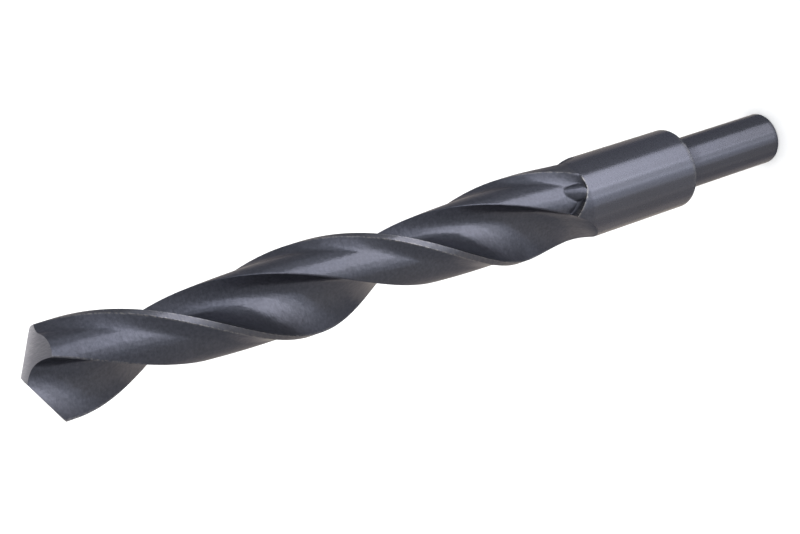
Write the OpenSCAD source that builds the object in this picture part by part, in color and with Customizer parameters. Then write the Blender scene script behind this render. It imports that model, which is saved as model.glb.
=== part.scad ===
// Two-flute twist drill bit with a reduced parallel shank.
// One solid piece of hardened steel, standing on its shank end:
// z = 0 is the flat end of the shank, +z runs up the axis to the point,
// and +x runs along the first cutting lip.

/* [Overall] */
// Length from the shank end to the point
overall_len = 200; // [190:1:215]
// Cutting diameter over the two margins
drill_d = 20; // [19:0.1:21]
// Diameter of the plain neck above the flutes
neck_d = 19.8; // [18.8:0.1:19.9]

/* [Shank] */
// Diameter held by the chuck
shank_d = 13; // [10:0.5:16]
// Length of the reduced shank
shank_len = 32; // [26:1:38]
// Bevel round the shank end
shank_bevel = 0.4; // [0.2:0.1:1.5]
// Bevel round the shoulder between neck and shank
shoulder_bevel = 0.4; // [0.1:0.1:1]

/* [Flutes] */
// Axial advance of the helix in one turn
helix_lead = 111.6; // [104:0.2:124]
// Distance from the point to the end of the flutes
flute_len = 140; // [136:0.5:143]
// Length over which the flutes rise out to the neck
runout_len = 23; // [18:0.5:26]
// Thickness of the web at the point
web_at_point = 3.1; // [2.6:0.1:3.4]
// Growth of the web for each millimetre along the axis
web_growth = 0.012; // [0.004:0.002:0.02]

/* [Lands] */
// Angle from the leading edge to the heel
land_angle = 80; // [76:1:84]
// Angle taken by the raised margin
margin_angle = 8.5; // [7:0.5:11]
// Diameter of the relieved land behind the margin
land_d = 16.6; // [16:0.1:17]
// Fall of the relieved land from its middle to the heel
heel_fall = 0.6; // [0.1:0.05:0.8]
// Break along the heel
heel_break = 0.1; // [0.05:0.05:0.4]

/* [Point] */
// Included angle of the two lips
point_angle = 124; // [118:1:130]
// Slope of the flank just behind the lip
lip_relief = 0.212; // [0.16:0.004:0.26]
// Extra fall of the flank towards the heel
heel_relief = 0.027; // [0.02:0.001:0.034]
// Fall of the outer corners, which are slightly rounded
corner_fall = 0.02; // [0:0.02:0.24]

/* [Hidden] */
edge_r = drill_d / 2;
neck_r = neck_d / 2;
land_r = land_d / 2;
web_r = web_at_point / 2;
turn = 360 / helix_lead;
slope = tan(90 - point_angle / 2);
lip_len = sqrt(edge_r * edge_r - web_r * web_r);
cone_drop = lip_relief * web_r + heel_relief * web_r * web_r;
corner_depth = slope * lip_len - cone_drop;
cross_relief = -0.0078;

// the web keeps one thickness over the point, so that the lips stay straight
point_zone = 8;

// the land relief falls from the margin in a curved wall
margin_wall = 22;

// it ends in a step, which is long at the margin and short at the heel
relief_end = flute_len - 5;
step_run = 1.45;
step_run_heel = 0.5;

// a small half cone stands on the relieved land just before that step
cone_start = 5.78;
cone_len = 5.3;
cone_half_angle = 19;
cone_tip_b = 43;
cone_root_b = 38;

// the cutter swings out of the flute along an arc
swing_start = flute_len - runout_len;
swing_need = neck_r + 0.02 - web_r - web_growth / 2 * (flute_len - point_zone);
swing_r = (runout_len * runout_len + swing_need * swing_need) / (2 * swing_need);
closed_at = flute_len - 0.25;

// the heel corner stays back until the last of that swing
heel_hold = 7;

// the fluted body ends a little sunk inside the bevelled end of the round neck
sunk_end = 0.05;
neck_end = flute_len + 0.8;
neck_bevel = 0.3;

// chisel edge: the line on which the two flanks meet
chisel_slope = (lip_relief + 2 * heel_relief * web_r) / (slope + cross_relief * web_r);

// angles of the outline points on the land, from the leading edge to the heel
relief_b = margin_angle + margin_wall;
break_width = 1.5;
break_b = land_angle - break_width;
land_b = concat(
    [0, margin_angle / 2, margin_angle],
    [for (w = [0.15, 0.32, 0.52, 0.75, 1]) margin_angle + margin_wall * w],
    [for (w = [0.33, 0.67, 1]) relief_b + (break_b - relief_b) * w],
    [land_angle]
);

// segments of one half of the outline: land, heel side, foot to chisel, lip side
land_n = len(land_b) - 1;
heel_n = 9;
lip_n = 10;
half_n = land_n + heel_n + 1 + lip_n;
ring_n = 2 * half_n;

function clip(x, low, high) = min(max(x, low), high);
function ease(x) = x * x * (3 - 2 * x);

// leading edge of the first land at depth s below the point
function lead_angle(s) = asin(web_r / edge_r) + turn * (corner_depth - s);

function half_web(s) = web_r + web_growth / 2 * max(0, s - point_zone);

// cutter lift in the run-out
function lift(s) =
    let (x = clip(s - swing_start, 0, runout_len))
    swing_r - sqrt(swing_r * swing_r - x * x);
function held(s) = 1 - pow(clip((s - swing_start) / runout_len, 0, 1), heel_hold);

// turn of the flute face at radius r, measured back from the leading edge
function face_turn(r, h) =
    asin(h / edge_r) - asin(min(1, h / r))
    + turn * slope * (sqrt(edge_r * edge_r - h * h) - sqrt(max(0, r * r - h * h)));

// relieved land: b is the angle behind the leading edge
function relief_edge(b) = relief_end - 0.0246 * pow(max(0, b - 28), 1.33);
function relief_run(b) = step_run + (step_run_heel - step_run) * clip((b - 24) / 46, 0, 1);
function land_body(b) =
    let (
        t = clip((b - margin_angle) / margin_wall, 0, 1),
        m = clip((b - relief_b) / (land_angle - relief_b), 0, 1),
        low = land_r - heel_fall * m * m
    )
    low + (edge_r - low) * (1 - t) * (1 - t);
function step_share(s, b) =
    let (t = clip((s - relief_edge(b) + relief_run(b)) / relief_run(b), 0, 1))
    1 - sqrt(1 - t * t);
function cone_share(s, b) =
    let (
        x = clip((s - relief_end + cone_start) / cone_len, 0, 1),
        w = max(1, cone_half_angle * sqrt(x)),
        c = cone_tip_b + (cone_root_b - cone_tip_b) * x
    )
    x * max(0, 1 - pow((b - c) / w, 2));
function land_out(s, b) =
    land_body(b) + (neck_r - land_body(b)) * max(step_share(s, b), cone_share(s, b));
function break_at(s) = heel_break * (1 - 0.95 * clip((s - relief_end + 9) / 4, 0, 1));

// flute outline seen from its foot: heel side, t = 0 at the foot, t = 1 at the heel
heel_pull = 4.5;
foot_pull = 2.7;
heel_lean = 12;
function foot_turn(h) = 180 + face_turn(h, h);
function heel_corner(h) =
    let (g = land_angle - foot_turn(h), r = land_r - heel_fall - heel_break)
    [r * sin(g), r * cos(g)];
function heel_side(t, h) =
    let (
        c = heel_corner(h),
        e = c / norm(c),
        d = e * cos(heel_lean) + [e[1], -e[0]] * sin(heel_lean),
        p0 = [0, h],
        p1 = [-foot_pull, h],
        p2 = c - d * heel_pull * 0.6,
        k = min(t, 1),
        j = 1 - k
    )
    j * j * j * p0 + 3 * j * j * k * p1 + 3 * j * k * k * p2 + k * k * k * c
    + max(0, t - 1) * 6 * e;
function lip_side(r, h) =
    let (g = face_turn(r, h) - face_turn(h, h))
    [r * sin(g), r * cos(g)];

// lifted flute point as [angle behind the leading edge, radius]
function lifted(p, s, h, share = 1) =
    let (y = p[1] + lift(s) * share)
    [foot_turn(h) + atan2(p[0], y), norm([p[0], y])];
function heel_lifted(t, s, h) =
    let (k = min(t, 1))
    lifted(heel_side(t, h), s, h, 1 - k * k * held(s));
function heel_gap(t, s, h) =
    let (q = heel_lifted(t, s, h))
    q[1] - land_out(s, q[0]) + break_at(s);
function heel_reach(s, h, low = 0, high = 1.5, n = 22) =
    n == 0 ? (low + high) / 2 :
    let (mid = (low + high) / 2)
    heel_gap(mid, s, h) > 0 ? heel_reach(s, h, low, mid, n - 1) : heel_reach(s, h, mid, high, n - 1);
function lip_limit(s) = edge_r + (neck_r - edge_r) * ease(clip((s - relief_end + 3) / 3, 0, 1));
function lip_reach(s, h, low, high, n = 22) =
    n == 0 ? (low + high) / 2 :
    let (mid = (low + high) / 2, q = lifted(lip_side(mid, h), s, h))
    q[1] > lip_limit(s) ? lip_reach(s, h, low, mid, n - 1) : lip_reach(s, h, mid, high, n - 1);

// vertex j of the first half outline at depth s, as [angle behind the edge, radius]
function outline(j, s) =
    let (
        d = min(s, closed_at),
        h = half_web(d),
        up = d > swing_start,
        heel_t = up ? heel_reach(d, h) : 1,
        lip_r = up ? lip_reach(d, h, h, edge_r * 1.05) : edge_r,
        b0 = up ? lifted(lip_side(lip_r, h), d, h)[0] - 180 : 0,
        q1 = heel_lifted(heel_t, d, h),
        q = j <= land_n ? land_vertex(j, d, b0, q1)
            : j <= land_n + heel_n ? heel_lifted(heel_t * (land_n + heel_n - j) / heel_n, d, h)
            : lifted(lip_side(lip_vertex_r(j - land_n - heel_n - 1, h, lip_r), h), d, h)
    )
    s <= closed_at ? q : [q[0], neck_r - (s > flute_len + 0.4 ? sunk_end : 0)];
function lip_vertex_r(k, h, far) =
    let (
        u0 = chisel_slope * h,
        u1 = sqrt(far * far - h * h),
        u = u0 + (u1 - u0) * k / lip_n
    )
    sqrt(h * h + u * u);
function land_vertex(j, s, b0, q1) =
    j == land_n ? q1 :
    let (
        plain = j < 2 ? b0 + (margin_angle - b0) * j / 2
            : j == land_n - 1 ? q1[0] - break_width
            : land_b[j],
        even = b0 + (q1[0] - b0) * j / land_n,
        b = plain + (even - plain) * ease(clip((s - relief_end - 0.4) / 4.4, 0, 1))
    )
    [b, b <= margin_angle ? lip_limit(s) : min(land_out(s, b), lip_limit(s))];

// point in space: second half is the first one turned by half a turn
function place(q, s, side) =
    let (a = lead_angle(s) - q[0] - 180 * side)
    [q[1] * cos(a), q[1] * sin(a), overall_len - s];
function flank_depth(x, y) =
    let (v = web_r - y, r = norm([x, y]))
    slope * x + lip_relief * v + heel_relief * v * v + cross_relief * x * v
    - cone_drop + corner_fall * pow(max(0, r - 0.82 * edge_r), 2);
function top_depth(x, y) = max(flank_depth(x, y), flank_depth(-x, -y));
function top_s(j, s = 4, n = 14) =
    n == 0 ? s :
    let (p = place(outline(j, s), s, 0))
    top_s(j, top_depth(p[0], p[1]), n - 1);

// depths of the rings; over the point they fan out from the ground flanks
ring_zone = [for (i = [0 : 52]) point_zone + (flute_len - 16 - point_zone) * i / 52];
near_step = [for (i = [1 : 12]) flute_len - 16 + (9.55 * i) / 12];
over_step = [for (w = [0.38, 0.66, 0.86, 1]) relief_end - step_run * (1 - w)];
past_step = [for (w = [0.2, 0.4, 0.6, 0.8, 0.95, 1.04]) relief_end + (flute_len - relief_end) * w];
rings = concat(ring_zone, near_step, over_step, past_step, [flute_len + 0.6, flute_len + 1.5]);
fan_n = 3;
tops = [for (j = [0 : half_n - 1]) top_s(j)];

// rings bend with the end of the land relief
function bend(s) =
    ease(clip((s - flute_len + 16) / 8, 0, 1)) * ease(clip((flute_len - s) / 4, 0, 1));
function bend_share(j) =
    j <= 2 ? 0
    : j <= land_n ? 1
    : j <= land_n + heel_n ? pow((land_n + heel_n - j) / heel_n, 2)
    : 0;
function ring_s(s, j) =
    let (
        b = land_b[min(j, land_n)],
        shorter = (step_run - relief_run(b)) * clip((relief_end - s) / step_run, 0, 1)
    )
    s + (relief_edge(b) - relief_end + shorter) * bend(s) * bend_share(j);

function ring_pts(s, bent) = [
    for (side = [0, 1])
        for (j = [0 : half_n - 1])
            let (d = bent ? ring_s(s, j) : s)
            place(outline(j, d), d, side)
];
function fan_pts(i) = [
    for (side = [0, 1])
        for (j = [0 : half_n - 1])
            let (d = tops[j] + (point_zone - tops[j]) * i / fan_n)
            place(outline(j, d), d, side)
];
end_ring = [
    for (p = ring_pts(flute_len + 2.2, false)) [p[0] * 0.96, p[1] * 0.96, p[2]]
];
side_rings = concat(
    [for (i = [0 : fan_n - 1]) fan_pts(i)],
    [for (s = rings) ring_pts(s, true)],
    [end_ring]
);
rings_n = len(side_rings);
top_ring = side_rings[0];

// flank grid between lip, outer edge, heel and chisel edge
function flat(p) = [p[0], p[1]];
function flank_xy(side, k, m) =
    let (
        o = side * half_n,
        w = k / lip_n,
        q = m / land_n,
        from_lip = flat(top_ring[(o + ring_n - lip_n + k) % ring_n]),
        from_heel = flat(top_ring[(o + half_n - lip_n - k) % ring_n]),
        corner = flat(top_ring[o]),
        heel = flat(top_ring[o + land_n]),
        rim = flat(top_ring[o + m])
    )
    (1 - q) * from_lip + q * from_heel + w * w * (rim - (1 - q) * corner - q * heel);
function flank_pt(side, k, m) =
    let (p = flank_xy(side, k, m), f = 1 - 2 * side)
    [p[0], p[1], overall_len - flank_depth(f * p[0], f * p[1])];
chisel_pts = [for (m = [1 : land_n - 1]) flank_pt(0, 0, m)];
flank_pts = [
    for (side = [0, 1])
        for (k = [1 : lip_n - 1])
            for (m = [1 : land_n - 1]) flank_pt(side, k, m)
];
body_pts = concat([for (r = side_rings) each r], chisel_pts, flank_pts);

chisel_at = rings_n * ring_n;
flank_at = chisel_at + land_n - 1;
function flank_id(side, k, m) =
    m == 0 ? (side * half_n + ring_n - lip_n + k) % ring_n
    : m == land_n ? (side * half_n + half_n - lip_n - k) % ring_n
    : k == lip_n ? side * half_n + m
    : k == 0 ? chisel_at + (side == 0 ? m - 1 : land_n - 1 - m)
    : flank_at + (side * (lip_n - 1) + k - 1) * (land_n - 1) + m - 1;
side_faces = [
    for (i = [0 : rings_n - 2])
        for (j = [0 : ring_n - 1])
            let (
                a = i * ring_n + j,
                b = i * ring_n + (j + 1) % ring_n,
                c = a + ring_n,
                d = b + ring_n
            )
            each [[a, d, b], [a, c, d]]
];
flank_faces = [
    for (side = [0, 1])
        for (k = [0 : lip_n - 1])
            for (m = [0 : land_n - 1])
                let (
                    a = flank_id(side, k, m),
                    b = flank_id(side, k, m + 1),
                    c = flank_id(side, k + 1, m),
                    d = flank_id(side, k + 1, m + 1)
                )
                each [[a, c, d], [a, d, b]]
];
end_face = [[for (j = [0 : ring_n - 1]) (rings_n - 1) * ring_n + ring_n - 1 - j]];

module fluted_body() {
    polyhedron(points = body_pts, faces = concat(side_faces, flank_faces, end_face), convexity = 8);
}

module neck_and_shank() {
    neck_top = overall_len - neck_end;
    shank_r = shank_d / 2;
    rotate_extrude($fn = 120)
        polygon([
            [0, 0],
            [shank_r - shank_bevel, 0],
            [shank_r, shank_bevel],
            [shank_r, shank_len],
            [neck_r - shoulder_bevel, shank_len],
            [neck_r, shank_len + shoulder_bevel],
            [neck_r, neck_top - neck_bevel],
            [neck_r - neck_bevel, neck_top],
            [0, neck_top]
        ]);
}

module drill_bit() {
    color([0.2, 0.21, 0.24])
        union() {
            fluted_body();
            neck_and_shank();
        }
}

drill_bit();
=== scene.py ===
"""Twist drill bit with a black oxide finish, standing on its shank end.

All lengths in the shape functions are millimetres, in the frame of the solid model:
z = 0 is the flat shank end and +Z runs up the axis to the point. A depth is measured
down from the point, and an angle behind the leading edge is measured in degrees.
"""

import bpy
import numpy as np
from mathutils import Matrix


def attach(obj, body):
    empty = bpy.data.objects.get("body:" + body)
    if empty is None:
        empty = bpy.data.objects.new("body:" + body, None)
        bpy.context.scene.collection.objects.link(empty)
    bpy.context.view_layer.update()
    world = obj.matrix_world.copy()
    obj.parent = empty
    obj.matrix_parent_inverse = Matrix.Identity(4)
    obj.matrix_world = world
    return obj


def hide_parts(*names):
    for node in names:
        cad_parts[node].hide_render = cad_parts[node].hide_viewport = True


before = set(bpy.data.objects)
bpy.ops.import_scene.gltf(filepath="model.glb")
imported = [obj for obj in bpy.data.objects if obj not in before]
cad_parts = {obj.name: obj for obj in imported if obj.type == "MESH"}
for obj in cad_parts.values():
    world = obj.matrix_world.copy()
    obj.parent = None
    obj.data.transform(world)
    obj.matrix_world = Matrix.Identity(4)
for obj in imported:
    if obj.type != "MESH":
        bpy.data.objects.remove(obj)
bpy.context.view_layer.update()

MM = 0.001

# Sizes of the bit
OVERALL = 200.0
EDGE_R = 10.0
NECK_R = 9.9
SHANK_R = 6.5
SHANK_LEN = 32.0
END_ROUND = 0.4
SHOULDER_ROUND = 0.4

# Flutes
LEAD = 111.6
FLUTE_LEN = 140.0
RUNOUT = 23.0
WEB_R = 1.55
WEB_GROWTH = 0.006
POINT_ZONE = 8.0

# Lands: angles from the leading edge over margin and wall to the heel
LAND_ANGLE = 80.0
MARGIN_ANGLE = 8.5
WALL_ANGLE = 22.0
LAND_R = 8.3
HEEL_FALL = 0.6
HEEL_BREAK = 0.1
BREAK_ANGLE = 1.5
HEEL_HOLD = 7.0

# Step that ends the relieved land: its rim bends towards the point, its rise gets short
RELIEF_END = FLUTE_LEN - 5.0
RIM_BEND = 0.0246
RIM_BEND_FROM = 28.0
RIM_BEND_POWER = 1.33
STEP_RUN = 1.45
STEP_RUN_HEEL = 0.5
RUN_FALL_FROM = 24.0
RUN_FALL_OVER = 46.0

# Before that step the margin falls to the neck over MARGIN_FADE, and the break of the heel
# corner loses the share BREAK_FADE of its depth
MARGIN_FADE = 3.0
BREAK_FADE_START = 9.0
BREAK_FADE_LEN = 4.0
BREAK_FADE = 0.95

# Half cone before the step: it starts CONE_AHEAD of its own lengths before the land's end
CONE_LEN = 5.3
CONE_AHEAD = 1.09
CONE_HALF = 19.0
CONE_TIP = 43.0
CONE_ROOT = 38.0

# Point
SLOPE = np.tan(np.radians(28.0))
LIP_RELIEF = 0.212
HEEL_RELIEF = 0.027
CROSS_RELIEF = -0.0078
CORNER_FALL = 0.02
CORNER_FROM = 0.82
CONE_DROP = LIP_RELIEF * WEB_R + HEEL_RELIEF * WEB_R ** 2
LIP_LEN = np.sqrt(EDGE_R ** 2 - WEB_R ** 2)
CORNER_DEPTH = SLOPE * LIP_LEN - CONE_DROP
CHISEL_SLOPE = (LIP_RELIEF + 2 * HEEL_RELIEF * WEB_R) / (SLOPE + CROSS_RELIEF * WEB_R)

# Run-out of the flutes: the cutter swings out along an arc, until it is just clear of the neck
SWING_START = FLUTE_LEN - RUNOUT
SWING_CLEAR = 0.02
SWING_NEED = NECK_R + SWING_CLEAR - WEB_R - WEB_GROWTH * (FLUTE_LEN - POINT_ZONE)
SWING_R = (RUNOUT ** 2 + SWING_NEED ** 2) / (2 * SWING_NEED)
CLOSED_AT = FLUTE_LEN - 0.25

# Heel side of the flute, a cubic curve
HEEL_PULL = 2.7
FOOT_PULL = 2.7
HEEL_LEAN = np.radians(12.0)
HEEL_BEYOND = 6.0

# Columns of one half of the outline. Land: share of the margin, the wall and the relief.
MARGIN_COLS = np.array([0, 0.03, 0.09, 0.2, 0.35, 0.5, 0.65, 0.8, 0.91, 0.97])
WALL_COLS = np.linspace(0, 1, 14)[:-1]
RELIEF_COLS = np.linspace(0, 1, 38)[:-1]
BREAK_COLS = np.array([0, 0.5, 1.0])
WALL_AT = len(MARGIN_COLS)
RELIEF_AT = WALL_AT + len(WALL_COLS)
BREAK_AT = RELIEF_AT + len(RELIEF_COLS)
LAND_N = BREAK_AT + len(BREAK_COLS) - 1
HEEL_COLS = np.linspace(1, 0, 35)[1:]
FOOT_COLS = np.array([0.5])
LIP_COLS = np.linspace(0, 1, 37)[:-1]
HALF_N = LAND_N + 1 + len(HEEL_COLS) + len(FOOT_COLS) + len(LIP_COLS)
LIP_N = len(LIP_COLS)
RING_N = 2 * HALF_N

# Past the step the land's columns spread out evenly: distance from the step, and over how long
EVEN_FROM = 0.6
EVEN_OVER = 3.8

# Rings: the fan at the point, and the spacing along the flutes, near the step and past it
FAN_ROWS = 15
FAN_POWER = 1.2
RING_STEP = 0.62
NEAR_STEP = 0.24
PAST_STEP = 0.3
NEAR_ZONE = 8.0
STEP_ROWS = np.array([0, 0.15, 0.3, 0.45, 0.58, 0.7, 0.8, 0.88, 0.94, 0.98, 1.0])

# The rings bend with the step's rim: where that starts, over how long, and how it ends
BEND_FROM = 11.0
BEND_OVER = 8.0
BEND_END = 3.6

# Edges that turn by more degrees than this are shaded sharp
SHARP_FROM = 28

# Finish: how light, how rough and how metallic the oxide is on each ground surface; the shank's lower
# lightness is painted shade, not its finish
FLUTE_TONE = 0.85
LAND_TONE = 0.92
# Painted shade: the shank is drawn this much darker, as if less light reached it
SHANK_SHADE = 0.88
FLUTE_SATIN = 0.31
LAND_SATIN = 0.34
NECK_SATIN = 0.28
FLUTE_METAL = 0.81
METAL = 0.87

# Light lines on the edges, the step's rim and the shoulder, partly rubbed oxide and partly painted
# highlight: how strong and how wide they are
LEAD_WEAR_AND_HIGHLIGHT = 0.9
EDGE_WIDTH = 0.12
HEEL_WEAR_AND_HIGHLIGHT = 0.9
HEEL_WIDTH = 0.14
RIM_WEAR_AND_HIGHLIGHT = 1.8
RIM_WIDTH = 0.14
RIM_SHIFT = 0.08
SHOULDER_WEAR_AND_HIGHLIGHT = 0.8
SHOULDER_WIDTH = 0.3
SHOULDER_SHIFT = 0.2

# Those light lines fade out over the first length below before the step, and the heel's line reaches only
# to the second depth, fading over the third;
# past the step the land's finish turns to the neck's over NECK_FROM_STEP
WEAR_AND_HIGHLIGHT_END = 1.5
POINT_WEAR_AND_HIGHLIGHT = 26.0
POINT_WEAR_AND_HIGHLIGHT_OVER = 8.0
NECK_FROM_STEP = 0.6

# Oxide colours: darkest and lightest grain of the neck and of the flutes, streaks and clouds
# over both, the margin strip, and the light edge colour, partly rubbed oxide and partly painted highlight
NECK_DARK = (0.077, 0.080, 0.100, 1)
NECK_LIGHT = (0.085, 0.088, 0.109, 1)
FLUTE_DARK = (0.063, 0.067, 0.084, 1)
FLUTE_LIGHT = (0.099, 0.102, 0.127, 1)
STREAK = (0.069, 0.072, 0.090, 1)
CLOUD = (0.065, 0.065, 0.073, 1)
MARGIN_STRIP = (0.100, 0.099, 0.110, 1)
WEAR_AND_HIGHLIGHT = (0.21, 0.205, 0.205, 1)

# Ground flank: between the wheel marks, on them, and cloudy patches
GROUND_DARK = (0.215, 0.208, 0.226, 1)
GROUND_LIGHT = (0.345, 0.334, 0.362, 1)
GROUND_CLOUD = (0.240, 0.233, 0.260, 1)

# Camera, as fitted to the outline in the photograph. TIP is the place on the axis TIP_DEPTH
# below the end of the bit, in millimetres from the camera, and FOCAL is in picture pixels.
YAW = 0.3229
PITCH = 0.5092
SPIN = np.radians(-10.6)
TIP = np.array([-72.1893, 22.003, 278.6411])
TIP_DEPTH = 0.146
FOCAL = 1450.0
PICTURE_WIDTH = 800
SENSOR = 36.0

# Soft panels, all at one distance from the middle of the bit and facing it: turn and rise of
# the place in degrees, size in metres, power in watts and colour
MIDDLE = np.array([0.0, 0.0, 0.1])
PANEL_DISTANCE = 1.6
PANELS = (
    ("main_panel", 57, -31, (1.23, 0.74), 17.7, (0.99, 0.98, 1.00)),
    ("side_panel", 92, -31, (0.62, 0.68), 4.9, (0.97, 0.98, 1.00)),
    ("edge_panel", 112, -34, (0.56, 0.68), 1.8, (0.92, 0.95, 1.00)),
    ("low_panel", 138, -36, (0.92, 0.80), 1.2, (1.00, 0.88, 0.70)),
    ("lowest_panel", 175, -31, (1.23, 0.92), 1.6, (1.00, 0.82, 0.60)),
    ("wide_panel", 58, -9, (1.56, 0.45), 4.0, (0.88, 0.92, 1.00)),
    ("upper_panel", 16, -13, (0.92, 0.45), 1.8, (0.92, 0.95, 1.00)),
    ("under_panel", 75, -53, (1.70, 0.45), 2.4, (0.97, 0.98, 1.00)),
    ("back_panel", -80, -25, (2.69, 1.49), 9.4, (1.00, 0.83, 0.56)),
    ("warm_panel", -143, -30, (1.04, 1.49), 4.4, (1.00, 0.83, 0.56)),
    ("point_panel", -82, 22, (1.04, 0.80), 5.2, (1.00, 0.98, 0.96)),
)


def clamp(x):
    """x held between 0 and 1."""
    return np.clip(x, 0.0, 1.0)


def ease(x):
    """Smooth step from 0 to 1, 3x^2 - 2x^3."""
    x = clamp(x)
    return x * x * (3 - 2 * x)


def bump_at(x, width):
    """Bell curve of x, which is 1 at 0 and falls off over width."""
    return np.exp(-(x / width) ** 2)


def asin_deg(x):
    """Angle in degrees whose sine is x, with x held between -1 and 1."""
    return np.degrees(np.arcsin(np.clip(x, -1.0, 1.0)))


def lead_angle(depth):
    """Direction of the first leading edge: it turns once in each helix lead."""
    return asin_deg(WEB_R / EDGE_R) + 360 / LEAD * (CORNER_DEPTH - depth)


def half_web(depth):
    """Half the web, which grows steadily below the point."""
    return WEB_R + WEB_GROWTH * np.maximum(0, depth - POINT_ZONE)


def cutter_lift(depth):
    """How far the cutter has swung out: a circle's arc over the run-out."""
    x = np.clip(depth - SWING_START, 0, RUNOUT)
    return SWING_R - np.sqrt(SWING_R ** 2 - x * x)


def face_turn(r, h):
    """Turn of the flute face at radius r that makes the ground lip straight."""
    reach = np.sqrt(EDGE_R ** 2 - h * h) - np.sqrt(np.maximum(0, r * r - h * h))
    return asin_deg(h / EDGE_R) - asin_deg(h / np.maximum(r, 1e-6)) + 360 / LEAD * SLOPE * reach


def step_rim(b):
    """Depth of the step that ends the relieved land, bending towards the point at the heel."""
    return RELIEF_END - RIM_BEND * np.maximum(0, b - RIM_BEND_FROM) ** RIM_BEND_POWER


def step_run(b):
    """Length over which the step rises: long at the margin, short at the heel."""
    return STEP_RUN + (STEP_RUN_HEEL - STEP_RUN) * clamp((b - RUN_FALL_FROM) / RUN_FALL_OVER)


def land_body(b):
    """Radius of the land: a wall falls from the margin, then the relief falls slowly to the heel.

    The wall is a parabola that ends level, and the relief falls with the square of its own share.
    """
    t = clamp((b - MARGIN_ANGLE) / WALL_ANGLE)
    m = clamp((b - MARGIN_ANGLE - WALL_ANGLE) / (LAND_ANGLE - MARGIN_ANGLE - WALL_ANGLE))
    low = LAND_R - HEEL_FALL * m * m
    return low + (EDGE_R - low) * (1 - t) ** 2


def step_share(depth, b):
    """Share of the step's height: a quarter ellipse that ends upright at the rim."""
    run = step_run(b)
    t = clamp((depth - step_rim(b) + run) / run)
    return 1 - np.sqrt(1 - t * t)


def cone_share(depth, b):
    """Share of the step's height that the half cone takes: a parabola across, growing along."""
    x = clamp((depth - RELIEF_END) / CONE_LEN + CONE_AHEAD)
    half = np.maximum(1.0, CONE_HALF * np.sqrt(x))
    mid = CONE_TIP + (CONE_ROOT - CONE_TIP) * x
    return x * np.maximum(0, 1 - ((b - mid) / half) ** 2)


def land_out(depth, b):
    """Radius of the land with its end: it rises to the neck by the larger of step and cone."""
    share = np.maximum(step_share(depth, b), cone_share(depth, b))
    return land_body(b) + (NECK_R - land_body(b)) * share


def lip_limit(depth):
    """Outer radius at the margin, which falls to the neck's before the step."""
    return EDGE_R + (NECK_R - EDGE_R) * ease((depth - RELIEF_END + MARGIN_FADE) / MARGIN_FADE)


def heel_break(depth):
    """Depth to which the heel corner is broken, fading out steadily before the step."""
    faded = clamp((depth - RELIEF_END + BREAK_FADE_START) / BREAK_FADE_LEN)
    return HEEL_BREAK * (1 - BREAK_FADE * faded)


def lifted(x, y, depth, h, share=1.0):
    """A flute point moved out with the cutter, as angle behind the leading edge and radius."""
    y = y + cutter_lift(depth) * share
    return 180 + face_turn(h, h) + np.degrees(np.arctan2(x, y)), np.hypot(x, y)


def heel_lifted(t, depth, h):
    """Heel side after the swing: the heel corner itself stays back until the last of the run-out."""
    held = 1 - clamp((depth - SWING_START) / (FLUTE_LEN - SWING_START)) ** HEEL_HOLD
    return lifted(*heel_side(t, h), depth, h, 1 - np.minimum(t, 1) ** 2 * held)


def heel_side(t, h):
    """Cubic from the flute's foot (t = 0) to the heel corner (t = 1), then straight outwards."""
    g = np.radians(LAND_ANGLE - 180 - face_turn(h, h))
    corner = LAND_R - HEEL_FALL - HEEL_BREAK
    cx, cy = corner * np.sin(g), corner * np.cos(g)
    ex, ey = np.sin(g), np.cos(g)
    dx = ex * np.cos(HEEL_LEAN) + ey * np.sin(HEEL_LEAN)
    dy = ey * np.cos(HEEL_LEAN) - ex * np.sin(HEEL_LEAN)
    k = np.minimum(t, 1)
    j = 1 - k
    a, b, c, d = j ** 3, 3 * j * j * k, 3 * j * k * k, k ** 3
    beyond = np.maximum(0, t - 1) * HEEL_BEYOND
    x = -b * FOOT_PULL + c * (cx - dx * HEEL_PULL) + d * cx + beyond * ex
    y = a * h + b * h + c * (cy - dy * HEEL_PULL) + d * cy + beyond * ey
    return x, y


def lip_side(r, h):
    """Point of the flute face at radius r, turned from the foot by the difference of face turns."""
    g = np.radians(face_turn(r, h) - face_turn(h, h))
    return r * np.sin(g), r * np.cos(g)


def bisect(low, high, too_far, steps=30):
    """Halves the span of every entry until too_far changes sign."""
    for _ in range(steps):
        mid = (low + high) / 2
        far = too_far(mid)
        high = np.where(far, mid, high)
        low = np.where(far, low, mid)
    return (low + high) / 2


def limits(depth):
    """Where the flute meets the land at each depth: in the run-out the crossing is searched.

    Gives the heel parameter, the lip radius, the land's first angle, and the heel's angle and radius.
    """
    h = half_web(depth)

    def past_heel(t):
        b, r = heel_lifted(t, depth, h)
        return r - land_out(depth, b) + heel_break(depth) > 0

    def past_lip(r):
        return lifted(*lip_side(r, h), depth, h)[1] > lip_limit(depth)

    up = depth > SWING_START
    ones = np.ones_like(depth)
    heel_t = np.where(up, bisect(0 * ones, 1.5 * ones, past_heel), 1.0)
    lip_r = np.where(up, bisect(h * ones, 1.05 * EDGE_R * ones, past_lip), EDGE_R)
    lead_b = np.where(up, lifted(*lip_side(lip_r, h), depth, h)[0] - 180, 0.0)
    heel_b, heel_r = heel_lifted(heel_t, depth, h)
    return heel_t, lip_r, lead_b, heel_b, heel_r


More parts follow.
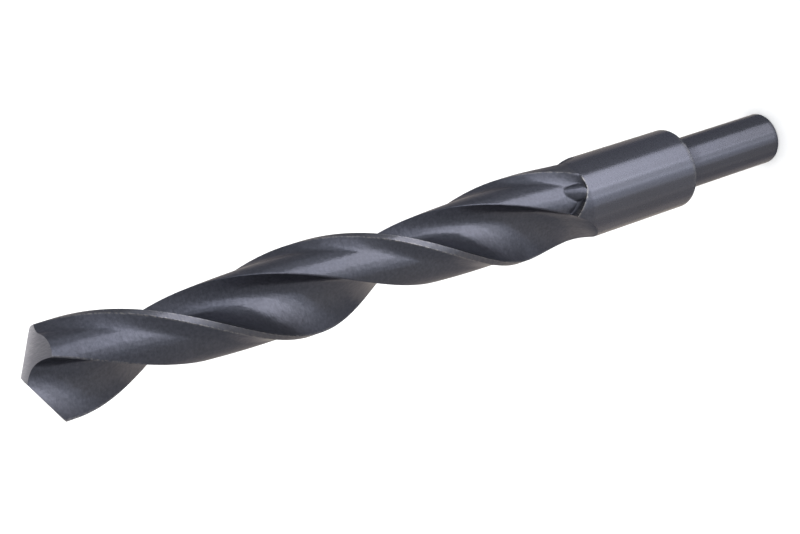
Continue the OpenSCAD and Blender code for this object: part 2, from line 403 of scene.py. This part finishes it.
def land_block(depth):
    """Angle and radius of the land's columns, with depth given for each column.

    The columns share out margin, wall and relief, and spread evenly once the flute closes.
    """
    _, _, lead_b, heel_b, heel_r = limits(depth)
    relief_b = MARGIN_ANGLE + WALL_ANGLE
    break_b = heel_b - BREAK_ANGLE
    b = np.empty_like(depth)
    b[:, :WALL_AT] = lead_b[:, :WALL_AT] + (MARGIN_ANGLE - lead_b[:, :WALL_AT]) * MARGIN_COLS
    b[:, WALL_AT:RELIEF_AT] = MARGIN_ANGLE + WALL_ANGLE * WALL_COLS
    b[:, RELIEF_AT:BREAK_AT] = relief_b + (break_b[:, RELIEF_AT:BREAK_AT] - relief_b) * RELIEF_COLS
    b[:, BREAK_AT:] = break_b[:, BREAK_AT:] + BREAK_ANGLE * BREAK_COLS
    even = lead_b + (heel_b - lead_b) * np.arange(LAND_N + 1) / LAND_N
    b = b + (even - b) * ease((depth - RELIEF_END - EVEN_FROM) / EVEN_OVER)
    r = np.where(b <= MARGIN_ANGLE, lip_limit(depth), np.minimum(land_out(depth, b), lip_limit(depth)))
    r[:, BREAK_AT + 1] = (r[:, BREAK_AT] + heel_r[:, BREAK_AT + 1]) / 2
    r[:, -1] = heel_r[:, -1]
    return b, r


def outline(depth):
    """Angle behind the leading edge and radius of all columns of one half, [ring, column].

    In order: the land, the heel side down to the flute's foot, the foot, and the lip side up.
    """
    n1 = LAND_N + 1
    n2 = n1 + len(HEEL_COLS)
    n3 = n2 + len(FOOT_COLS)
    d = np.minimum(depth, CLOSED_AT)
    b = np.empty_like(d)
    r = np.empty_like(d)
    b[:, :n1], r[:, :n1] = land_block(d[:, :n1])
    heel_d = d[:, n1:n2]
    h = half_web(heel_d)
    heel_t = limits(heel_d)[0]
    b[:, n1:n2], r[:, n1:n2] = heel_lifted(heel_t * HEEL_COLS, heel_d, h)
    foot_d = d[:, n2:n3]
    h = half_web(foot_d)
    foot_r = np.hypot(h, CHISEL_SLOPE * h * FOOT_COLS)
    b[:, n2:n3], r[:, n2:n3] = lifted(*lip_side(foot_r, h), foot_d, h)
    lip_d = d[:, n3:]
    h = half_web(lip_d)
    near = CHISEL_SLOPE * h
    far = np.sqrt(limits(lip_d)[1] ** 2 - h * h)
    lip_r = np.hypot(h, near + (far - near) * LIP_COLS)
    b[:, n3:], r[:, n3:] = lifted(*lip_side(lip_r, h), lip_d, h)
    return b, np.where(depth > CLOSED_AT, NECK_R, r)


def place(b, r, depth, side):
    """Outline points in space; the second half is the first one turned by half a turn."""
    a = np.radians(lead_angle(depth) - b - 180 * side)
    return np.stack([r * np.cos(a), r * np.sin(a), OVERALL - depth], axis=-1)


def flank_depth(x, y):
    """Depth of the ground flank: lip slope, relief behind the lip, and rounded corners."""
    v = WEB_R - y
    corner = np.maximum(0, np.hypot(x, y) - CORNER_FROM * EDGE_R)
    return (SLOPE * x + LIP_RELIEF * v + HEEL_RELIEF * v * v + CROSS_RELIEF * x * v
            - CONE_DROP + CORNER_FALL * corner ** 2)


def top_depths():
    """Depth at which each column meets the ground flanks: a guess of 4, put in again and again."""
    depth = np.full((1, HALF_N), 4.0)
    for _ in range(30):
        p = place(*outline(depth), depth, 0)
        depth = np.maximum(flank_depth(p[..., 0], p[..., 1]), flank_depth(-p[..., 0], -p[..., 1]))
    return depth


def body_depths(tops):
    """Depth of every ring and column: a fan at the point, then rings that bend with the step."""
    fan = np.linspace(0, 1, FAN_ROWS)[:-1, None] ** FAN_POWER
    point_rows = tops + (POINT_ZONE - tops) * fan
    rim = RELIEF_END
    levels = np.concatenate([
        np.arange(POINT_ZONE, rim - NEAR_ZONE, RING_STEP),
        np.arange(rim - NEAR_ZONE, rim - STEP_RUN - 0.1, NEAR_STEP),
        rim - STEP_RUN * (1 - STEP_ROWS),
        [rim + 0.06],
        np.arange(rim + 0.25, FLUTE_LEN - 0.3, PAST_STEP),
        [CLOSED_AT, FLUTE_LEN - 0.1, FLUTE_LEN + 0.1],
    ])
    bend = ease((levels - rim + BEND_FROM) / BEND_OVER) * ease((FLUTE_LEN - levels) / BEND_END)
    share = np.zeros(HALF_N)
    share[WALL_AT:LAND_N + 1] = 1
    share[LAND_N + 1:LAND_N + 1 + len(HEEL_COLS)] = HEEL_COLS ** 2
    rows = levels[:, None] + np.zeros(HALF_N)
    for _ in range(6):
        b = np.minimum(land_block(rows[:, :LAND_N + 1])[0], 90)
        low = 1 - clamp((levels[:, None] - rim + STEP_RUN) / STEP_RUN)
        drop = step_rim(b) - rim + (STEP_RUN - step_run(b)) * low
        drop = np.concatenate([drop, np.repeat(drop[:, -1:], HALF_N - LAND_N - 1, axis=1)], axis=1)
        rows = levels[:, None] + drop * share * bend[:, None]
    return np.concatenate([point_rows, rows])


def round_rows():
    """Profile below the flutes as radius and z: straight neck and shank, quarter-circle corners."""
    turn = np.radians([0, 30, 60, 90])
    shoulder = [(NECK_R - SHOULDER_ROUND * (1 - np.cos(t)), SHANK_LEN + SHOULDER_ROUND * (1 - np.sin(t)))
                for t in turn]
    end = [(SHANK_R - END_ROUND * (1 - np.cos(t)), END_ROUND * (1 - np.sin(t))) for t in turn]
    neck = [(NECK_R, z) for z in np.linspace(OVERALL - FLUTE_LEN - 1, SHANK_LEN + SHOULDER_ROUND + 1, 6)]
    face = [((NECK_R + SHANK_R) / 2, SHANK_LEN), (SHANK_R + 0.2, SHANK_LEN),
            (SHANK_R + 0.06, SHANK_LEN - 0.06)]
    shank = [(SHANK_R, z) for z in np.linspace(SHANK_LEN - 0.3, END_ROUND + 1, 6)]
    return np.array(neck + shoulder + face + shank + end + [(3.0, 0.0)])


def turned_rings(depth, b, profile):
    """Points of neck and shank: each column of the last flute ring, carried down the profile."""
    angle = np.radians(lead_angle(depth[-1:]) - b[-1:])
    angle = np.concatenate([angle, angle - np.pi], axis=1)
    radius = profile[:, :1]
    return np.stack([radius * np.cos(angle), radius * np.sin(angle), profile[:, 1:] + 0 * angle], axis=-1)


def flank_grid(top, side):
    """Coons patch between lip, land rim, heel side and chisel edge, [k, m] from the chisel out."""
    o = side * HALF_N
    k = np.arange(LIP_N + 1)
    m = np.arange(LAND_N + 1)
    xy = top[:, :2]
    from_lip = xy[(o + RING_N - LIP_N + k) % RING_N][:, None]
    from_heel = xy[(o + HALF_N - LIP_N - k) % RING_N][:, None]
    rim = xy[o + m][None]
    w = (k / LIP_N)[:, None, None]
    q = (m / LAND_N)[None, :, None]
    grid = (1 - q) * from_lip + q * from_heel + w * w * (rim - (1 - q) * rim[:, :1] - q * rim[:, -1:])
    f = 1 - 2 * side
    z = OVERALL - flank_depth(f * grid[..., 0], f * grid[..., 1])
    return np.concatenate([grid, z[..., None]], axis=-1)


def flank_points(top, start):
    """Points inside both flanks, numbered from start, and each flank's whole grid of numbers.

    The grid's border is the body's first ring, and the two flanks share the chisel edge.
    """
    patches = [flank_grid(top, side) for side in (0, 1)]
    points = [patches[0][0, 1:-1]]
    chisel = start + np.arange(LAND_N - 1)
    start += LAND_N - 1
    grids = []
    for side in (0, 1):
        o = side * HALF_N
        k = np.arange(LIP_N + 1)
        grid = np.empty((LIP_N + 1, LAND_N + 1), int)
        grid[:, 0] = (o + RING_N - LIP_N + k) % RING_N
        grid[:, -1] = (o + HALF_N - LIP_N - k) % RING_N
        grid[-1] = o + np.arange(LAND_N + 1)
        grid[0, 1:-1] = chisel if side == 0 else chisel[::-1]
        inner = (LIP_N - 1) * (LAND_N - 1)
        grid[1:-1, 1:-1] = start + np.arange(inner).reshape(LIP_N - 1, LAND_N - 1)
        points.append(patches[side][1:-1, 1:-1].reshape(-1, 3))
        start += inner
        grids.append(grid)
    return np.concatenate(points), grids


def ring_quads(rows, cols):
    """Point numbers of the quads between closed rings, facing out as the rings run down."""
    i, j = np.meshgrid(np.arange(rows - 1), np.arange(cols), indexing="ij")
    k = (j + 1) % cols
    return np.stack([i * cols + j, (i + 1) * cols + j, (i + 1) * cols + k, i * cols + k], axis=-1)


def grid_quads(grid):
    """Point numbers of the quads of a flank's grid."""
    return np.stack([grid[:-1, :-1], grid[1:, :-1], grid[1:, 1:], grid[:-1, 1:]], axis=-1)


def side_map(side, depth, profile):
    """Pattern map of the rings in millimetres: u runs round each ring, v down the axis.

    Each is a running sum of distances, and every quad's four corners are given in turn.
    """
    rows = len(side)
    closed = np.concatenate([side, side[:, :1]], axis=1)
    step = np.linalg.norm(np.diff(closed, axis=1), axis=2)
    across = np.concatenate([np.zeros((rows, 1)), np.cumsum(step, axis=1)], axis=1)
    flute_end = [[NECK_R, OVERALL - FLUTE_LEN]]
    run = np.linalg.norm(np.diff(np.concatenate([flute_end, profile]), axis=0), axis=1)
    tail = FLUTE_LEN + np.cumsum(run)[:, None] + np.zeros((1, RING_N))
    down = np.concatenate([np.tile(depth, 2), tail])
    down = np.concatenate([down, down[:, :1]], axis=1)
    i, j = np.meshgrid(np.arange(rows - 1), np.arange(RING_N), indexing="ij")
    corner_i = np.stack([i, i + 1, i + 1, i], axis=-1).reshape(-1)
    corner_j = np.stack([j, j, j + 1, j + 1], axis=-1).reshape(-1)
    return np.stack([across[corner_i, corner_j], down[corner_i, corner_j]], axis=-1)


def finish_layers(depth, b, body, profile):
    """Finish of every ring point by name: edge lines of wear and painted highlight, margin strip, tone
    with the shank's painted shade, satin and metal.

    Edge lines, partly wear and partly painted highlight, are bell curves of the distance from an edge,
    along the ring or down the axis.
    The rest has one value for each ground surface, eased from land to neck after the step; the shank's
    darker tone is painted shade.
    Each entry gives half a ring of the fluted body, and the rings of neck and shank.
    """
    col = np.arange(HALF_N)
    step = np.linalg.norm(np.diff(body[:, :HALF_N], axis=1), axis=2)
    arc = np.concatenate([np.zeros((len(depth), 1)), np.cumsum(step, axis=1)], axis=1)
    full = arc[:, -1:] + 0.01
    from_lead = np.minimum(arc, full - arc)
    from_margin = np.abs(arc - arc[:, WALL_AT:WALL_AT + 1])
    from_break = np.abs(arc - arc[:, BREAK_AT:BREAK_AT + 1])
    from_heel = np.minimum(from_break, np.abs(arc - arc[:, LAND_N:LAND_N + 1]))
    before_end = ease((RELIEF_END - depth) / WEAR_AND_HIGHLIGHT_END)
    near_point = ease((POINT_WEAR_AND_HIGHLIGHT - depth) / POINT_WEAR_AND_HIGHLIGHT_OVER)
    # Light lines on the edges: partly rubbed oxide, partly painted highlight
    edge = LEAD_WEAR_AND_HIGHLIGHT * bump_at(from_lead, EDGE_WIDTH) + bump_at(from_margin, EDGE_WIDTH)
    edge = (edge + HEEL_WEAR_AND_HIGHLIGHT * near_point * bump_at(from_heel, HEEL_WIDTH)) * before_end
    # Light line along the step's rim: painted highlight, with some wear
    on_step = (col > WALL_AT) & (col <= LAND_N)
    edge = edge + RIM_WEAR_AND_HIGHLIGHT * on_step * bump_at(depth - step_rim(b) - RIM_SHIFT, RIM_WIDTH)
    strip = ((col <= WALL_AT) * 1.0) * before_end
    on_land = (col <= LAND_N) * 1.0
    to_neck = on_land * ease((depth - RELIEF_END) / NECK_FROM_STEP)
    tone_and_shade = FLUTE_TONE + (LAND_TONE - FLUTE_TONE) * on_land + (1 - LAND_TONE) * to_neck
    satin = FLUTE_SATIN + (LAND_SATIN - FLUTE_SATIN) * on_land + (NECK_SATIN - LAND_SATIN) * to_neck
    metal = METAL + (FLUTE_METAL - METAL) * (1 - on_land) * ease(FLUTE_LEN - depth)
    low = np.zeros((len(profile), RING_N))
    # Painted shade: the shank rings are darkened by the shank factor
    low_shade = low + 1 - (1 - SHANK_SHADE) * (profile[:, 1:] < SHANK_LEN)
    # Light line on the shoulder's rounded rim: painted highlight, with some wear
    from_shoulder = profile[:, 1:] - SHANK_LEN - SHOULDER_SHIFT
    on_neck = profile[:, :1] > NECK_R - 2 * SHOULDER_ROUND
    low_edge = low + SHOULDER_WEAR_AND_HIGHLIGHT * bump_at(from_shoulder, SHOULDER_WIDTH) * on_neck
    return (("edge", edge, low_edge), ("strip", strip, low), ("tone_and_shade", tone_and_shade, low_shade),
            ("satin", satin, low + NECK_SATIN), ("metal", metal, low + METAL))


def build_drill():
    """One closed mesh of fluted body, flanks, neck and shank, with its pattern map and finish."""
    depth = body_depths(top_depths())
    b, r = outline(depth)
    body = np.concatenate([place(b, r, depth, 0), place(b, r, depth, 1)], axis=1)
    profile = round_rows()
    side = np.concatenate([body, turned_rings(depth, b, profile)])
    rows = len(side)
    centre = rows * RING_N
    inside, grids = flank_points(side[0], centre + 1)
    points = np.concatenate([side.reshape(-1, 3), [[0.0, 0.0, 0.0]], inside])

    side_quads = ring_quads(rows, RING_N).reshape(-1, 4)
    flank_quads = np.concatenate([grid_quads(grid).reshape(-1, 4) for grid in grids])
    j = np.arange(RING_N)
    last = (rows - 1) * RING_N
    cap = np.stack([np.full(RING_N, centre), last + (j + 1) % RING_N, last + j], axis=-1)
    mesh = bpy.data.meshes.new("twist_drill")
    faces = side_quads.tolist() + flank_quads.tolist() + cap.tolist()
    mesh.from_pydata((points * MM).tolist(), [], faces)
    mesh.update()

    flank_map = points[flank_quads.reshape(-1)][:, :2]
    cap_map = points[cap.reshape(-1)][:, :2]
    marks = np.concatenate([side_map(side, depth, profile), flank_map, cap_map])
    mesh.uv_layers.new(name="marks").data.foreach_set("uv", marks.astype(np.float32).ravel())

    rest = np.zeros(len(points) - rows * RING_N)
    for name, half, tail in finish_layers(depth, b, body, profile):
        rings = np.concatenate([np.concatenate([half, half], axis=1), tail]).ravel()
        layer = mesh.attributes.new(name, "FLOAT", "POINT")
        layer.data.foreach_set("value", np.concatenate([rings, rest]).astype(np.float32))

    slots = np.zeros(len(faces), np.int32)
    slots[len(side_quads):len(side_quads) + len(flank_quads)] = 1
    mesh.polygons.foreach_set("material_index", slots)
    mesh.shade_smooth()
    mesh.set_sharp_from_angle(angle=np.radians(SHARP_FROM))
    return mesh


def new_material(name):
    """A material with its node tree and its surface shader."""
    material = bpy.data.materials.new(name)
    material.use_nodes = True
    tree = material.node_tree
    return material, tree, tree.nodes["Principled BSDF"]


def node(tree, kind, values=(), links=()):
    """Adds a node, sets its sockets or properties and links its inputs."""
    n = tree.nodes.new(kind)
    for key, value in dict(values).items():
        if key in n.inputs:
            n.inputs[key].default_value = value
        else:
            setattr(n, key, value)
    for key, source in dict(links).items():
        tree.links.new(source, n.inputs[key])
    return n


def noise(tree, vector, scale, detail, rough):
    """Fractal noise of the given scale along vector."""
    return node(tree, "ShaderNodeTexNoise", {"Scale": scale, "Detail": detail, "Roughness": rough},
                {"Vector": vector}).outputs["Fac"]


def ramp(tree, source, low, high, out_low=0.0, out_high=1.0):
    """Linear remap of source between low and high, clamped."""
    n = node(tree, "ShaderNodeMapRange", {"From Min": low, "From Max": high, "To Min": out_low,
                                          "To Max": out_high}, {"Value": source})
    return n.outputs["Result"]


def blend(tree, share, a, b):
    """Colour mix; a and b are colours or sockets, share is a socket."""
    n = tree.nodes.new("ShaderNodeMix")
    n.data_type = "RGBA"
    tree.links.new(share, n.inputs[0])
    for index, value in ((6, a), (7, b)):
        if isinstance(value, tuple):
            n.inputs[index].default_value = value
        else:
            tree.links.new(value, n.inputs[index])
    return n.outputs[2]


def product(tree, a, b):
    """Product of two sockets, or of a socket and a number."""
    n = node(tree, "ShaderNodeMath", {"operation": "MULTIPLY"}, {0: a})
    if isinstance(b, float):
        n.inputs[1].default_value = b
    else:
        tree.links.new(b, n.inputs[1])
    return n.outputs[0]


def attribute(tree, name):
    """One of the mesh's own finish layers."""
    return node(tree, "ShaderNodeAttribute", {"attribute_name": name}).outputs["Fac"]


def pattern_map(tree, scale):
    """The mesh's own map in millimetres, stretched by scale."""
    uv = node(tree, "ShaderNodeUVMap", {"uv_map": "marks"}).outputs["UV"]
    return node(tree, "ShaderNodeMapping", {"Scale": scale}, {"Vector": uv}).outputs["Vector"]


def object_map(tree, scale):
    """Object coordinates in metres, stretched by scale."""
    where = node(tree, "ShaderNodeTexCoord").outputs["Object"]
    return node(tree, "ShaderNodeMapping", {"Scale": scale}, {"Vector": where}).outputs["Vector"]


def black_oxide():
    """Satin blue-black oxide over fine grinding marks, lighter on the edges, partly rubbed and partly
    painted highlight.

    The neck is the smoothest surface: relief fades colour changes and bumps there.
    """
    material, tree, bsdf = new_material("black_oxide")
    marks = noise(tree, pattern_map(tree, (0.35, 2.4, 1.0)), 1.0, 3.0, 0.6)
    grain = noise(tree, object_map(tree, (1.0, 1.0, 1.0)), 1500.0, 2.0, 0.55)
    waves = noise(tree, object_map(tree, (1.0, 1.0, 0.7)), 420.0, 3.0, 0.6)
    cloud = noise(tree, object_map(tree, (1.0, 1.0, 0.45)), 90.0, 3.0, 0.5)
    speck = noise(tree, pattern_map(tree, (1.3, 1.3, 1.0)), 1.0, 3.0, 0.75)
    tone_and_shade = attribute(tree, "tone_and_shade")
    satin = attribute(tree, "satin")
    relief = ramp(tree, satin, NECK_SATIN, FLUTE_SATIN, 0.1, 1.0)
    light = blend(tree, relief, NECK_LIGHT, FLUTE_LIGHT)
    deep = blend(tree, relief, NECK_DARK, FLUTE_DARK)
    dark = blend(tree, ramp(tree, grain, 0.3, 0.7), deep, light)
    streaked = blend(tree, ramp(tree, marks, 0.3, 0.7, 0.0, 0.45), dark, STREAK)
    cloudy = blend(tree, ramp(tree, cloud, 0.3, 0.7, 0.0, 0.35), streaked, CLOUD)
    # The tone layer scales the colour; on the shank it is painted shade
    toned = node(tree, "ShaderNodeVectorMath", {"operation": "SCALE"}, {0: cloudy, "Scale": tone_and_shade})
    on_strip = product(tree, attribute(tree, "strip"), ramp(tree, speck, 0.35, 0.65, 0.1, 0.9))
    with_strip = blend(tree, on_strip, toned.outputs[0], MARGIN_STRIP)
    # Light edge lines: partly rubbed oxide, partly painted highlight
    edge_wear_and_highlight = product(tree, attribute(tree, "edge"), ramp(tree, speck, 0.42, 0.64))
    colour = blend(tree, edge_wear_and_highlight, with_strip, WEAR_AND_HIGHLIGHT)
    tree.links.new(colour, bsdf.inputs["Base Color"])
    uneven = ramp(tree, grain, 0.3, 0.7, -0.015, 0.015)
    rough = node(tree, "ShaderNodeMath", {"operation": "ADD"}, {0: satin, 1: uneven}).outputs[0]
    tree.links.new(rough, bsdf.inputs["Roughness"])
    strength = product(tree, relief, 0.4)
    bump = node(tree, "ShaderNodeBump", {"Distance": 0.00005}, {"Height": marks, "Strength": strength})
    wavy = node(tree, "ShaderNodeBump", {"Distance": 0.00025},
                {"Height": waves, "Normal": bump.outputs["Normal"], "Strength": strength})
    fine = node(tree, "ShaderNodeBump", {"Distance": 0.00004},
                {"Height": grain, "Normal": wavy.outputs["Normal"], "Strength": strength})
    tree.links.new(fine.outputs["Normal"], bsdf.inputs["Normal"])
    tangent = node(tree, "ShaderNodeTangent", {"direction_type": "UV_MAP", "uv_map": "marks"})
    tree.links.new(tangent.outputs["Tangent"], bsdf.inputs["Tangent"])
    tree.links.new(attribute(tree, "metal"), bsdf.inputs["Metallic"])
    bsdf.inputs["Anisotropic"].default_value = 0.75
    bsdf.inputs["Anisotropic Rotation"].default_value = 0.25
    bsdf.inputs["Specular Tint"].default_value = (0.5, 0.5, 0.55, 1)
    return material


def ground_steel():
    """Grey flank, ground after the oxide finish, with fine straight wheel marks."""
    material, tree, bsdf = new_material("ground_steel")
    marks = noise(tree, pattern_map(tree, (7.0, 0.5, 1.0)), 1.0, 4.0, 0.65)
    cloud = noise(tree, object_map(tree, (1.0, 1.0, 1.0)), 300.0, 2.0, 0.5)
    lines = blend(tree, ramp(tree, marks, 0.35, 0.65), GROUND_DARK, GROUND_LIGHT)
    colour = blend(tree, ramp(tree, cloud, 0.35, 0.65, 0.0, 0.5), lines, GROUND_CLOUD)
    tree.links.new(colour, bsdf.inputs["Base Color"])
    bump = node(tree, "ShaderNodeBump", {"Strength": 0.3, "Distance": 0.00002}, {"Height": marks})
    tree.links.new(bump.outputs["Normal"], bsdf.inputs["Normal"])
    bsdf.inputs["Metallic"].default_value = 1.0
    bsdf.inputs["Roughness"].default_value = 0.45
    return material


def pale_floor():
    """Matt off-white with very faint large clouds."""
    material, tree, bsdf = new_material("pale_floor")
    soft = noise(tree, object_map(tree, (1.0, 1.0, 1.0)), 3.0, 2.0, 0.5)
    colour = blend(tree, soft, (0.86, 0.86, 0.86, 1), (0.88, 0.88, 0.88, 1))
    tree.links.new(colour, bsdf.inputs["Base Color"])
    bsdf.inputs["Roughness"].default_value = 0.9
    return material


# The fitted view as a turn from its axes, right, down and forward, to those of the bit
along = np.array([np.cos(PITCH) * np.cos(YAW), -np.cos(PITCH) * np.sin(YAW), np.sin(PITCH)])
up = np.array([0.0, -1.0, 0.0])
up = up - along * up.dot(along)
up /= np.linalg.norm(up)
out = np.cross(along, up)
bit_x = np.cos(SPIN) * up + np.sin(SPIN) * out
bit_y = np.sin(SPIN) * up - np.cos(SPIN) * out
to_bit = np.array([bit_x, bit_y, -along])


def set_in_scene(thing, at, axes):
    """Places an object by its origin and its three axes as columns, and links it."""
    turn = Matrix(np.column_stack(axes).tolist()).to_4x4()
    thing.matrix_world = Matrix.Translation(np.array(at, float).tolist()) @ turn
    bpy.context.scene.collection.objects.link(thing)


def set_camera():
    """Camera at the fitted place, with the fitted focal length as a lens of a 36 mm sensor."""
    data = bpy.data.cameras.new("view")
    data.sensor_width = SENSOR
    data.lens = FOCAL / PICTURE_WIDTH * SENSOR
    data.clip_start = 0.01
    camera = bpy.data.objects.new("view", data)
    shank_end = TIP + (OVERALL - TIP_DEPTH) * along
    set_in_scene(camera, -to_bit @ shank_end * MM, (to_bit[:, 0], -to_bit[:, 1], -to_bit[:, 2]))
    bpy.context.scene.camera = camera


def panel_light(name, at, aim, size, power, colour=(1, 1, 1), roll=(0, 0, 1)):
    """Rectangular soft light at a place, facing aim, its second side as near as can be to roll."""
    data = bpy.data.lights.new(name, "AREA")
    data.shape = "RECTANGLE"
    data.size, data.size_y = size
    data.energy = power
    data.color = colour
    back = np.array(at, float) - np.array(aim, float)
    back /= np.linalg.norm(back)
    right = np.cross(np.array(roll, float), back)
    right /= np.linalg.norm(right)
    light = bpy.data.objects.new(name, data)
    set_in_scene(light, at, (right, np.cross(back, right), back))
    return light


def around(turn, rise, distance):
    """A place round the bit: turn 0 is the picture's upper side and 90 the camera's side."""
    toward_up = to_bit @ up
    toward_camera = to_bit @ -np.array([0.0, 0.0, 1.0])
    toward_camera[2] = 0
    toward_camera /= np.linalg.norm(toward_camera)
    toward_up[2] = 0
    toward_up /= np.linalg.norm(toward_up)
    a, e = np.radians(turn), np.radians(rise)
    flat = np.cos(a) * toward_up + np.sin(a) * toward_camera
    return distance * (np.cos(e) * flat + np.array([0, 0, np.sin(e)])) + MIDDLE


def build_floor():
    """Level square under the bit, a backdrop that neither shows in the steel nor blocks a panel."""
    mesh = bpy.data.meshes.new("floor")
    half = 4.0
    corners = [(-half, -half, 0), (half, -half, 0), (half, half, 0), (-half, half, 0)]
    mesh.from_pydata(corners, [], [(0, 1, 2, 3)])
    mesh.materials.append(pale_floor())
    floor = bpy.data.objects.new("floor", mesh)
    bpy.context.scene.collection.objects.link(floor)
    floor.visible_glossy = False
    floor.visible_shadow = False


def light_studio():
    """Pale even surroundings, the soft panels, and a wide one above that isn't reflected in steel."""
    world = bpy.data.worlds.new("studio")
    bpy.context.scene.world = world
    world.use_nodes = True
    background = world.node_tree.nodes["Background"]
    background.inputs["Color"].default_value = (0.95, 0.97, 1.0, 1)
    background.inputs["Strength"].default_value = 0.560
    for name, turn, rise, size, power, colour in PANELS:
        panel_light(name, around(turn, rise, PANEL_DISTANCE), MIDDLE, size, power, colour)
    top_panel = panel_light("top_panel", (0.0, 0.0, 1.5), (0, 0, 0), (3.0, 3.0), 52.0, roll=(1, 0, 0))
    top_panel.visible_glossy = False


set_camera()

drill_mesh = build_drill()
drill_mesh.materials.append(black_oxide())
drill_mesh.materials.append(ground_steel())
drill = bpy.data.objects.new("twist_drill", drill_mesh)
bpy.context.scene.collection.objects.link(drill)
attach(drill, "root")
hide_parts("drill_bit")

build_floor()
light_studio()
bpy.context.scene.view_settings.view_transform = "Standard"
